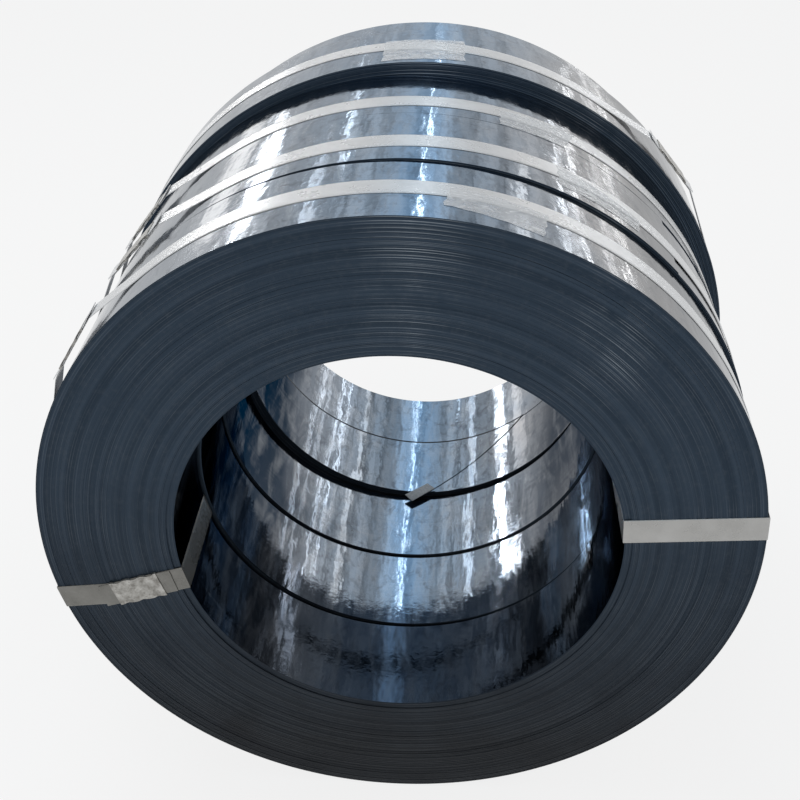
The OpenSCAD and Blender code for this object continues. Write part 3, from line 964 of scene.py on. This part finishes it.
strip = [
    finish("bore_strip", polished_strip(BORE_SHADE_TINT)),
    finish("slit_edges", slit_edges),
    finish("cut_tip", cut_tip),
    finish("outside_strip", polished_strip(OUTSIDE_TINT)),
]
band_strap = finish("band_steel", strapping(*BAND_GREYS))
eye_strapping = {
    side: finish(f"{side}_strap_steel", strapping(*greys)) for side, greys in EYE_STRAP_GREYS.items()
}
seal = finish("seal_steel", seal_steel)
film = finish("clear_tape", clear_tape)
for coil in coils:
    wound_coil(coil, strip)
    belly_band(coil, band_strap)
    band_seal(coil, seal)
for side in EYE_STRAPS:
    eye_strap(side, eye_strapping[side])
    eye_seal(side, seal)
for number in range(1, len(TAPE_CORNERS) + 1):
    tape_patch(number, film)


# Floor, light and camera

def seen_rays(tree):
    """One for rays that look at a thing: from the camera, off gloss and through glass."""
    made = tree.tree.nodes.new("ShaderNodeLightPath")
    seen = [Value(tree, made.outputs[n]) for n in ("Is Camera Ray", "Is Glossy Ray", "Is Transmission Ray")]
    return seen[0].math("MAXIMUM", seen[1]).math("MAXIMUM", seen[2])


def pale_floor(tree):
    """A pale floor that keeps the soft shadow and is nearly white elsewhere."""
    lit = tree.node("ShaderNodeBsdfDiffuse", {}, {"Color": FLOOR_GREY})
    white = tree.node("ShaderNodeEmission", {}, {"Color": (*WHITE, 1), "Strength": 1.0})
    return tree.node("ShaderNodeMixShader", {}, {0: seen_rays(tree) * FLOOR_WHITE, 1: lit, 2: white})


def lay_floor():
    """A flat sheet under the pack."""
    mesh = bpy.data.meshes.new("floor")
    reach = FLOOR_SIZE / 2
    corners = [(-reach, -reach, 0), (reach, -reach, 0), (reach, reach, 0), (-reach, reach, 0)]
    mesh.from_pydata(corners, [], [(0, 1, 2, 3)])
    mesh.materials.append(finish("pale_floor", pale_floor))
    floor = bpy.data.objects.new("floor", mesh)
    bpy.context.scene.collection.objects.link(floor)


def light_world():
    """For rays that look at it, a surround that is white round the horizon. Overhead it has soft grey rows
    along the pack, which are noise over the lean to the side, and a blue glow down the middle. For the rest,
    an even soft light."""
    world = bpy.data.worlds.new("studio")
    bpy.context.scene.world = world
    tree = Tree(world)
    x, _, height = axis_parts(tree, object_place(tree))
    lean = x.math("ARCTAN2", height)
    rows = tree.line_noise(lean, 9.0, 4.0)
    glow = 1 - lean.math("ABSOLUTE").clamp(0.04, 0.3)
    high = height.clamp(0.05, 0.4)
    shade = OVERHEAD + (rows - 0.5) * ROW_CONTRAST + glow * MIDDLE_GLOW
    seen = 1 + high * (shade.math("MAXIMUM", DARKEST_ROW) - 1)
    strength = EVEN_LEVEL + seen_rays(tree) * (seen - EVEN_LEVEL)
    colour = tree.mix(glow * high, (*WHITE, 1), (*SKY, 1))
    around = tree.node("ShaderNodeBackground", {}, {"Color": colour, "Strength": strength})
    tree.node("ShaderNodeOutputWorld", {}, {"Surface": around})


def panel_light(name, place, size, level, aim, colour=WHITE, mirrored=True):
    """A rectangular lamp of a level of brightness at a place, turned towards an aim, with its second side
    along the pack. One that is mirrored shows in glossy surfaces only, and the others light matt ones
    only."""
    lamp = bpy.data.lights.new(name, "AREA")
    lamp.shape = "RECTANGLE"
    lamp.size, lamp.size_y = size
    lamp.energy = level * math.pi * size[0] * size[1]
    lamp.color = colour
    made = bpy.data.objects.new(name, lamp)
    made.visible_camera = False
    made.visible_glossy = mirrored
    made.visible_diffuse = not mirrored
    bpy.context.scene.collection.objects.link(made)
    ahead = np.array(aim, float) - np.array(place, float)
    ahead = ahead / np.linalg.norm(ahead)
    side = np.cross(ahead, [0, 1, 0])
    side = side / np.linalg.norm(side)
    up = np.cross(side, ahead)
    turned = np.column_stack([side, up, -ahead, place])
    made.matrix_world = Matrix(np.vstack([turned, [0, 0, 0, 1]]).tolist())


def tube_lights():
    """Long strip lamps along the pack, behind and above it, which draw streaks along the strip. Each faces
    the pack's axis."""
    for name, x, z, width, start, stop, level, colour in TUBES:
        middle = (start + stop) / 2
        panel_light(name, (x, middle, z), (width, stop - start), level, (0, middle, PACK_MIDDLE[2]), colour)


def place_camera():
    """A camera in front of the pack and above it, which looks down into the bore."""
    camera = bpy.data.cameras.new("camera")
    camera.lens = CAMERA_LENS
    camera.sensor_width = SENSOR
    made = bpy.data.objects.new("camera", camera)
    bpy.context.scene.collection.objects.link(made)
    face = np.array([coils[0].x, coils[0].front, coils[0].z])
    made.location = face + np.array(CAMERA_FROM_FACE)
    made.rotation_euler = (math.radians(90 - CAMERA_PITCH), 0, math.radians(CAMERA_YAW))
    bpy.context.scene.camera = made


lay_floor()
light_world()
tube_lights()
panel_light("key", KEY_PLACE, KEY_SIZE, KEY_LEVEL, PACK_MIDDLE, mirrored=False)
place_camera()
bpy.context.scene.view_settings.view_transform = "Standard"
